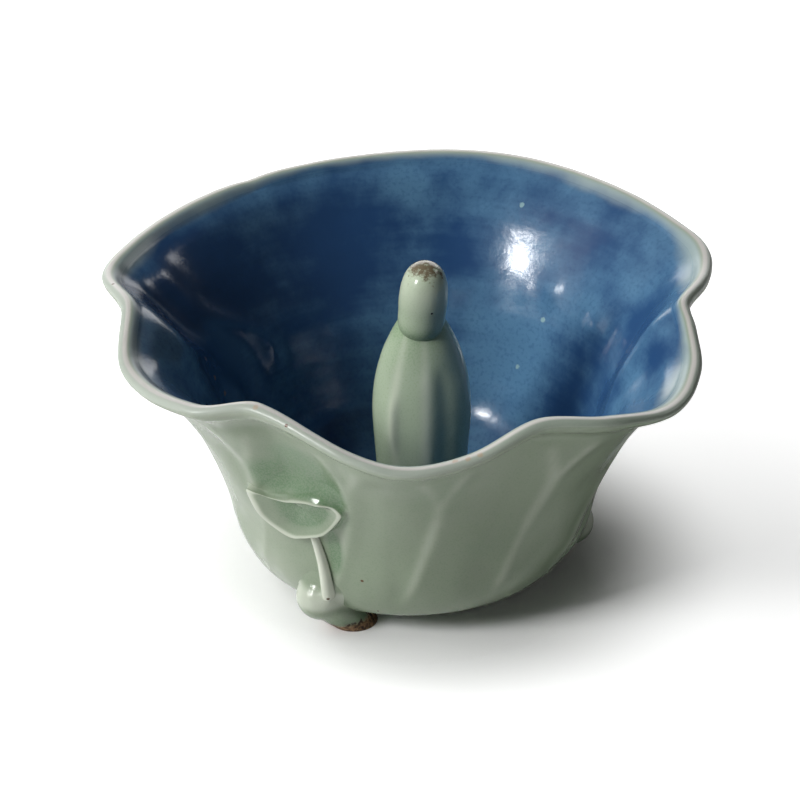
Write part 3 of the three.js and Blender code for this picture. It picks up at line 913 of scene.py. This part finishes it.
# %% Siphon tube, open from the chamber to the hole in the floor
tube = [
    (BORE_RADIUS, BASE_HEIGHT),
    (PIPE_RADIUS - 0.2, BASE_HEIGHT),
    (PIPE_RADIUS, BASE_HEIGHT + 0.2),
    (PIPE_RADIUS, 6),
    (PIPE_RADIUS, 20),
    (PIPE_RADIUS, PIPE_TOP - 1),
    (PIPE_RADIUS - 0.3, PIPE_TOP - 0.3),
    (PIPE_RADIUS - 0.7, PIPE_TOP),
    (BORE_RADIUS + 0.2, PIPE_TOP - 0.1),
    (BORE_RADIUS, PIPE_TOP - 0.4),
    (BORE_RADIUS, 20),
    (BORE_RADIUS, BASE_HEIGHT),
]
tube_mesh = turned(tube, 48, straight)
bmesh.ops.translate(tube_mesh, vec=(FIGURE_X, 0, 0), verts=tube_mesh.verts[:])
mark_thin(tube_mesh, lambda p: 0.4, lambda p: 0.0)
nodes = Nodes("celadon_tube")
color = celadon_color(nodes, FIGURE_GLAZE)
tube_glaze = nodes.finish(color, 0.3, [(nodes.noise(500.0, 2.0), 0.2, 0.0003)])
finished(tube_mesh, "siphon_tube", tube_glaze, "celadon_pipe", "siphon_standpipe")

# %% [markdown]
# ## The sprays
# Three stems grow from the feet, and each climbs the wall and opens into a small leaf. All three
# parts follow the pressed wall, so the first thing to know is where the wall is: a point on it, and
# the way straight out from it.

# %% Points on the wall
skin_line = smooth_line(SKIN, 40)


def skin_radius(height):
    """Radius of the outside as thrown, at a height."""
    for a, b in zip(skin_line, skin_line[1:]):
        if a.y <= height < b.y:
            return a.x + (b.x - a.x) * (height - a.y) / (b.y - a.y)
    return skin_line[-1].x


def on_wall(angle, height, out):
    """The place that lies so far straight out from the pressed wall."""

    def on_skin(h, a):
        return pressed(skin_radius(h) + skin_rise(h, a), h, a)

    here = on_skin(height, angle)
    across = on_skin(height, angle + 0.02) - here
    up = on_skin(height + 0.5, angle) - here
    return here + out * across.cross(up).normalized()


# %% Sizes of a spray
LEAF_REACH = 35  # the wall's radius there, which turns millimetres along it into an angle
# Outline of a leaf, in millimetres along the wall and up it from the leaf's middle
LEAF_OUTLINE = [
    (7.0, 1.9),
    (6.4, 3.2),
    (4.4, 3.7),
    (1.4, 3.4),
    (-2.6, 2.1),
    (-6.5, 1.8),
    (-10.0, 2.2),
    (-10.1, -0.7),
    (-9.6, -3.4),
    (-7.8, -5.5),
    (-4.7, -6.3),
    (0.4, -4.7),
    (4.6, -1.7),
]
# Section through a leaf, share of the way out and distance from the wall: the middle of its
# face, the rolled edge, and a skirt of glaze that runs down on to the wall
LEAF_SECTION = [
    (0, 1.0),
    (0.3, 1.02),
    (0.55, 1.15),
    (0.72, 1.45),
    (0.85, 1.85),
    (0.94, 2.1),
    (1.0, 2.05),
    (1.03, 1.75),
    (1.06, 1.3),
    (1.11, 0.75),
    (1.17, 0.32),
    (1.23, 0.1),
    (1.28, 0.0),
    (1.33, -0.12),
    (1.34, -0.5),
    (1.0, -0.6),
    (0, -0.6),
]
SKIRT = 0.9  # width of the skirt
SKIRT_ABOVE = 3.4  # and how much wider it is above the leaf
SKIRT_SHARE = 0.28  # how far past the leaf's edge the section puts the skirt's end
TIP_SINK = 0.5  # share of its height that a tip of the leaf sinks
# Stations of a stem: degrees and height on the wall, and distance from it
STEM_ROUTE = [(243.2, 7.9, 1.5), (243, 11, 1.4), (241.5, 14.4, 1.2), (240, 17.6, 1.1), (238.9, 20.6, 1)]
PAD = Vector((-8.4, -19.3, 0))  # middle of the front foot's sole
KNOB = Vector((-13.8, -22.2, 6.2))  # and of its round knob
KNOB_RADIUS = 3.9
print("a leaf is", LEAF_OUTLINE[0][0] - LEAF_OUTLINE[6][0], "mm long")


# %% [markdown]
# ### A small leaf
# Each leaf is a pad of clay with a rolled edge. It could be cut from a grid, but then its rim would
# follow the grid's squares. A turned disc has rings that follow its edge, so here a disc is turned
# and its corners are moved: how far out a corner lies becomes its share of the way to the leaf's
# outline, and its height becomes its distance from the wall. The last rings run down to the wall
# and lie flat on it, as the glaze does.

# %% Small leaf
leaf_edge = smooth_line([*LEAF_OUTLINE[-1:], *LEAF_OUTLINE, *LEAF_OUTLINE[:2]], 12)[12:-12]


def edge_at(around):
    """The leaf's outline at a turn round its middle."""
    place = (around / (2 * math.pi) % 1) * (len(leaf_edge) - 1)
    i = int(place)
    return leaf_edge[i].lerp(leaf_edge[min(i + 1, len(leaf_edge) - 1)], place - i)


def spray_leaf(turn, sway):
    middle = (LEAF_ANGLE + turn + sway) * DEGREE
    section = [tuple(p) for p in smooth_line(LEAF_SECTION, 5)]

    def place(share, out, around, row):
        edge = edge_at(around)
        tips = smoothstep(edge.x, 3, 6.5) + smoothstep(-edge.x, 3, 8.5)
        if share > 1:
            width = SKIRT + SKIRT_ABOVE * smoothstep(edge.y, 0, 2.5) * (1 - tips)
            edge = edge + edge.normalized() * width * (share - 1) / SKIRT_SHARE
            share = 1
        if out > 0:
            out *= 1 - TIP_SINK * tips * share
        return on_wall(middle + share * edge.x / LEAF_REACH, LEAF_HEIGHT + share * edge.y, out)

    bm = turned(section, 120, place)
    rows = bm.verts.layers.float["row"]
    thin_and_painted_light = bm.verts.layers.float.new("thin_and_painted_light")
    pool_and_painted_shade = bm.verts.layers.float.new("pool_and_painted_shade")
    for v in bm.verts:
        share, out = section[round(v[rows])]
        around = math.atan2(v.co.y, v.co.x)
        on_skirt = smoothstep(share, 1.0, 1.05)
        v[thin_and_painted_light] = max(0.6 * smoothstep(out, 1.75, 2.12), on_skirt * vein_thin(v.co.z, around))
        around_leaf = POOL_DEPTH * pooling(around / DEGREE, v.co.z)
        v[pool_and_painted_shade] = 0.6 * (1 - smoothstep(share, 0.3, 0.85)) + around_leaf * on_skirt
    return bm


# %% [markdown]
# ### A stem
# The stem is a string of clay, rolled on the table and pressed on. A curve with a round bevel would
# lie on the wall like a wire. A turned string keeps its tapered ends, and its lower half can be
# spread where the thumb pressed it down.

# %% Stem: a rolled string swept along its route
# The string as rolled: radius and share of its length
STEM_SECTION = [
    (0, 0),
    (0.7, 0.02),
    (0.95, 0.08),
    (0.88, 0.2),
    (0.72, 0.5),
    (0.6, 0.8),
    (0.55, 0.95),
    (0.4, 1.0),
    (0, 1.02),
]
STEM_SUNK = 0.55  # how far its middle line is pressed towards the wall
STEM_SPREAD = 0.5  # how much wider the thumb makes the half that lies on the wall


def spray_stem(turn, sway):
    start = STEM_ROUTE[0][1]
    points = []
    for degrees, height, out in STEM_ROUTE:
        swung = sway * smoothstep(height, start, start + 7)
        points.append(on_wall((degrees + turn + swung) * DEGREE, height, out - STEM_SUNK))
    route = smooth_line(points, 24)

    def place(radius, share, around, row):
        last = len(route) - 2
        i = min(max(int(share * last), 0), last)
        step = route[i + 1] - route[i]
        along = step.normalized()
        middle = route[i] + along * (share * last - i) * step.length
        outward = Vector((middle.x, middle.y, 0))
        outward = (outward - along * outward.dot(along)).normalized()
        across = outward.cross(along)
        spread = 1 + STEM_SPREAD * smoothstep(-math.sin(around), -0.35, 0.9)
        sideways = across * radius * spread * math.cos(around)
        return middle + sideways + outward * radius * math.sin(around)

    bm = turned([tuple(p) for p in smooth_line(STEM_SECTION, 8)], 28, place)
    mark_thin(bm, lambda p: 0.55, lambda p: 0.0)
    return bm


# %% [markdown]
# ### A foot
# The foot is a lump of clay pushed against the wall and curled under the cup. Joining a ball and a
# bent leg by hand would leave a hard seam, so the two are remeshed into one skin and smoothed, which
# is what a wet finger does.

# %% Foot
# The bent leg, radius and height, and the web of clay that ties it to the wall, radius on the
# wall and distance from it
LEG = [(0, -2), (3.6, -2), (3.75, -1), (3.8, 0), (3.85, 1.6), (3.9, 3.2), (3.7, 5), (2.4, 5.8), (0, 6)]
WEB = [(0, 0.6), (2, 0.45), (3.6, 0.05), (4.9, -0.35), (5.8, -0.8), (5.8, -1.4), (0, -1.4)]
WEB_ANGLE = 240
WEB_HEIGHT = 8.2
WEB_LOWEST = 4.5
BUD = Vector((-12.7, -24.4, 7.6))  # where the stem grows out of the foot
BUD_RADIUS = 1.7
FOOT_GRAIN = 0.22  # size of the cubes that the joined clay is remeshed to
WET_STROKES = 60  # passes of smoothing


def spray_foot(turn, name):
    lump_mesh = bmesh.new()
    for middle, radius in ((KNOB, KNOB_RADIUS), (BUD, BUD_RADIUS)):
        ball = Matrix.Translation(middle)
        bmesh.ops.create_uvsphere(lump_mesh, u_segments=32, v_segments=24, radius=radius, matrix=ball)

    def leg_place(radius, height, angle, row):
        curl = (max(height, 0) / KNOB.z) ** 0.8
        middle = PAD.lerp(Vector((KNOB.x, KNOB.y, 0)), curl)
        return middle + straight(radius, height, angle)

    def web_place(radius, out, around, row):
        across = radius * math.cos(around) / skin_radius(WEB_HEIGHT)
        height = max(WEB_HEIGHT + radius * math.sin(around), WEB_LOWEST)
        return on_wall(WEB_ANGLE * DEGREE + across, height, out)

    carrier = bpy.data.meshes.new(name)
    for profile, place in ((LEG, leg_place), (WEB, web_place)):
        part = turned([tuple(p) for p in smooth_line(profile, 4)], 40, place)
        part.to_mesh(carrier)
        part.free()
        lump_mesh.from_mesh(carrier)
    spin = Matrix.Rotation(turn * DEGREE, 3, "Z")
    bmesh.ops.rotate(lump_mesh, cent=(0, 0, 0), matrix=spin, verts=lump_mesh.verts[:])
    lump_mesh.to_mesh(carrier)
    lump_mesh.free()
    lump = bpy.data.objects.new(name, carrier)
    scene.collection.objects.link(lump)
    remesh = lump.modifiers.new("one skin", "REMESH")
    remesh.mode = "VOXEL"
    remesh.voxel_size = FOOT_GRAIN
    soften = lump.modifiers.new("wet finger", "SMOOTH")
    soften.factor = 0.5
    soften.iterations = WET_STROKES
    view = bpy.context.evaluated_depsgraph_get()
    skin_mesh = bpy.data.meshes.new_from_object(lump.evaluated_get(view))
    bpy.data.objects.remove(lump)
    bm = bmesh.new()
    bm.from_mesh(skin_mesh)
    whole = bm.verts[:] + bm.edges[:] + bm.faces[:]
    cut_line = bmesh.ops.bisect_plane(
        bm, geom=whole, dist=1e-5, plane_co=(0, 0, 0), plane_no=(0, 0, 1), clear_inner=True
    )["geom_cut"]
    bmesh.ops.holes_fill(bm, edges=[e for e in cut_line if isinstance(e, bmesh.types.BMEdge)])
    # the foot is paler on its knob and darker green towards its sole
    mark_thin(
        bm,
        lambda p: 1.1 * smoothstep(p.z, 4, 7) * (1 - smoothstep(p.z, 7.6, 9.8)),
        lambda p: 0.35 * (1 - smoothstep(p.z, 2, 5)),
    )
    return bm


# %% [markdown]
# ### Glazes of the sprays
# Leaves, stems and feet have the wall's celadon, so that they grow out of it without a seam, but the
# glaze runs off their edges and leaves them nearly white. Under each foot the glaze was wiped away
# before the firing, because it would have glued the cup to the kiln's shelf. There the clay shows,
# brown, rough and gritty.

# %% Glazes of the sprays
nodes = Nodes("celadon_leaf")
color = celadon_color(nodes, SPRAY_GLAZE)
leaf_glaze = nodes.finish(color, 0.18, [(nodes.noise(420.0, 2.0), 0.12, 0.0004)])

nodes = Nodes("celadon_stem")
stem_end = nodes.spots([(-12.5, -26.4, 8.2)], 0.32)
color = nodes.mix(stem_end, celadon_color(nodes, SPRAY_GLAZE, 0.4), IRON)
stem_glaze = nodes.finish(color, 0.2, [(nodes.noise(420.0, 2.0), 0.12, 0.0004)])

GLAZE_ENDS = 2.1  # heights between which a foot's glaze was wiped away
BARE_BELOW = 1.4
nodes = Nodes("celadon_foot")
grit = nodes.noise(900.0, 4.0, 0.7)
wiped = nodes.math("ADD", nodes.level(), nodes.math("MULTIPLY_ADD", grit, 0.003, -0.0015))
bare = nodes.ramp(wiped, BARE_BELOW * MM, GLAZE_ENDS * MM, 1.0, 0.0)
earth = nodes.mix(nodes.ramp(grit, 0.4, 0.65), GRIT, BISCUIT)
color = nodes.mix(bare, celadon_color(nodes, WALL_GLAZE), earth)
rough = nodes.ramp(bare, 0.0, 1.0, 0.15, 0.85)
foot_glaze = nodes.finish(color, rough, [(grit, 0.25, 0.0004)])

# %% Setting the sprays on the wall
for side, (turn, sway) in SPRAYS.items():
    leaf = spray_leaf(turn, sway)
    finished(leaf, f"{side}_leaf_glazed", leaf_glaze, "celadon_leaf", f"{side}_leaf")
    stem = spray_stem(turn, sway)
    finished(stem, f"{side}_stem_glazed", stem_glaze, "celadon_stem", f"{side}_stem")
    foot = spray_foot(turn, f"{side}_lump")
    finished(foot, f"{side}_foot_glazed", foot_glaze, "celadon_foot", f"{side}_foot")

# %% [markdown]
# ## The table
# The cup stands on plain white paper. Lighting the paper until it is white would wash out the
# glaze, so the paper gives off a little light of its own, for the camera's rays alone. Close to the
# cup that glow fades away by ambient occlusion, and the shadow stays.

# %% Table
TABLE_REACH = 3.0  # metres from its middle to each side
TABLE_GLOW = 0.66  # lifts the paper to white for the camera alone
SHADE_REACH = 0.034  # metres within which the cup dims the glow
SHADE_FROM = 0.92  # openness below which the glow fades, and where it is gone
SHADE_FULL = 0.5

table = bmesh.new()
bmesh.ops.create_grid(table, x_segments=2, y_segments=2, size=TABLE_REACH)
paper = bpy.data.meshes.new("table")
table.to_mesh(paper)
table.free()
floor = bpy.data.objects.new("table", paper)
scene.collection.objects.link(floor)
nodes = Nodes("table_paper")
nodes.shader.inputs["Base Color"].default_value = (0.92, 0.92, 0.92, 1)
nodes.shader.inputs["Roughness"].default_value = 0.9
nodes.shader.inputs["Specular IOR Level"].default_value = 0.1
seen = nodes.add("ShaderNodeLightPath").outputs["Is Camera Ray"]
occlusion = nodes.add("ShaderNodeAmbientOcclusion", {"samples": 16}, Distance=SHADE_REACH)
glow = nodes.ramp(occlusion.outputs["AO"], SHADE_FULL, SHADE_FROM, 0.0, TABLE_GLOW)
nodes.shader.inputs["Emission Color"].default_value = (1, 1, 1, 1)
nodes.feed(nodes.shader, "Emission Strength", nodes.math("MULTIPLY", seen, glow))
paper.materials.append(nodes.material)
print("the paper is", 2 * TABLE_REACH, "m wide")

# %% [markdown]
# ## Light
# Glaze does two things with light, and they are set apart here. Its colour comes from light that
# it scatters: a broad window at the left and a little behind, a softbox in front at the left and a
# weak fill at the right. Its gloss comes from what it mirrors: the softbox with its hot middle, the
# white paper behind and a small card behind at the right. Area lights can be hidden from diffuse or
# from glossy rays, so each lamp does one of the two and can be set without spoiling the other.

# %% Light
ROOM_LIGHT = 0.03
# Watts of what the glaze scatters
WINDOW_POWER = 50
SOFTBOX_POWER = 32
FILL_POWER = 1.6
# Watts of what it mirrors: the softbox and its hot middle, the paper behind and the card
LAMP_MIRROR = 19
SOFTBOX_MIRROR = 4
BACKDROP_MIRROR = 16
CARD_MIRROR = 1

world = bpy.data.worlds.new("studio")
scene.world = world
world.use_nodes = True
tree = world.node_tree
background = tree.nodes["Background"]
background.inputs["Color"].default_value = (1, 1, 1, 1)
path = tree.nodes.new("ShaderNodeLightPath")
strength = tree.nodes.new("ShaderNodeMapRange")
strength.inputs["To Min"].default_value = ROOM_LIGHT
tree.links.new(path.outputs["Is Camera Ray"], strength.inputs["Value"])
tree.links.new(strength.outputs["Result"], background.inputs["Strength"])


CUP_MIDDLE = Vector((0, 0, 0.03))


def soft_light(name, azimuth, elevation, distance, size, power, diffuse=True, glossy=True):
    """A panel of light at an azimuth (0 in front, 90 at the right) and elevation from the cup."""
    a = azimuth * DEGREE
    e = elevation * DEGREE
    away = Vector((math.sin(a) * math.cos(e), -math.cos(a) * math.cos(e), math.sin(e)))
    lamp = bpy.data.lights.new(name, "AREA")
    lamp.shape = "RECTANGLE"
    lamp.size, lamp.size_y = size
    lamp.energy = power
    panel = bpy.data.objects.new(name, lamp)
    panel.location = CUP_MIDDLE + away * distance
    panel.rotation_euler = (-away).to_track_quat("-Z", "Y").to_euler()
    panel.visible_diffuse = diffuse
    panel.visible_glossy = glossy
    scene.collection.objects.link(panel)
    print(name, "gives", power, "W")


soft_light("window", -110, 44, 2.5, (2.4, 2.0), WINDOW_POWER, glossy=False)
soft_light("softbox", -60, 32, 2.0, (0.6, 0.6), SOFTBOX_POWER, glossy=False)
soft_light("fill", 55, 25, 2.0, (1.5, 1.0), FILL_POWER, glossy=False)
soft_light("softbox_middle_mirrored", -58, 30, 2.0, (0.32, 0.38), LAMP_MIRROR, diffuse=False)
soft_light("softbox_mirrored", -70, 26, 2.0, (1.3, 0.9), SOFTBOX_MIRROR, diffuse=False)
soft_light("backdrop_mirrored", 180, 12, 1.6, (2.0, 1.1), BACKDROP_MIRROR, diffuse=False)
soft_light("card_mirrored", 121, 33, 1.5, (0.3, 0.25), CARD_MIRROR, diffuse=False)

# %% [markdown]
# ## Camera
# The camera looks down at 30 degrees from in front. Its lens is worked out from the scale of the
# picture, so the cup has its real size there, and a small shift sets it in the frame.

# %% Camera
CAMERA_ELEVATION = 30 * DEGREE
CAMERA_DISTANCE = 620  # millimetres
TARGET = AXIS + Vector((-0.24, 8.18, 24)) * MM
PICTURE_WIDTH = 800  # pixels, as the next two
PIXELS_PER_MM = 6.2
SHIFT = 7

camera = bpy.data.cameras.new("camera")
camera.sensor_width = 36
camera.lens = PIXELS_PER_MM * CAMERA_DISTANCE / PICTURE_WIDTH * camera.sensor_width
camera.shift_x = -SHIFT / PICTURE_WIDTH
camera.clip_start = 0.01
viewer = bpy.data.objects.new("camera", camera)
back = Vector((0, -math.cos(CAMERA_ELEVATION), math.sin(CAMERA_ELEVATION)))
viewer.location = TARGET + back * CAMERA_DISTANCE * MM
viewer.rotation_euler = (90 * DEGREE - CAMERA_ELEVATION, 0, 0)
scene.collection.objects.link(viewer)
scene.camera = viewer
scene.view_settings.view_transform = "Standard"
print("the lens is", round(camera.lens), "mm long")
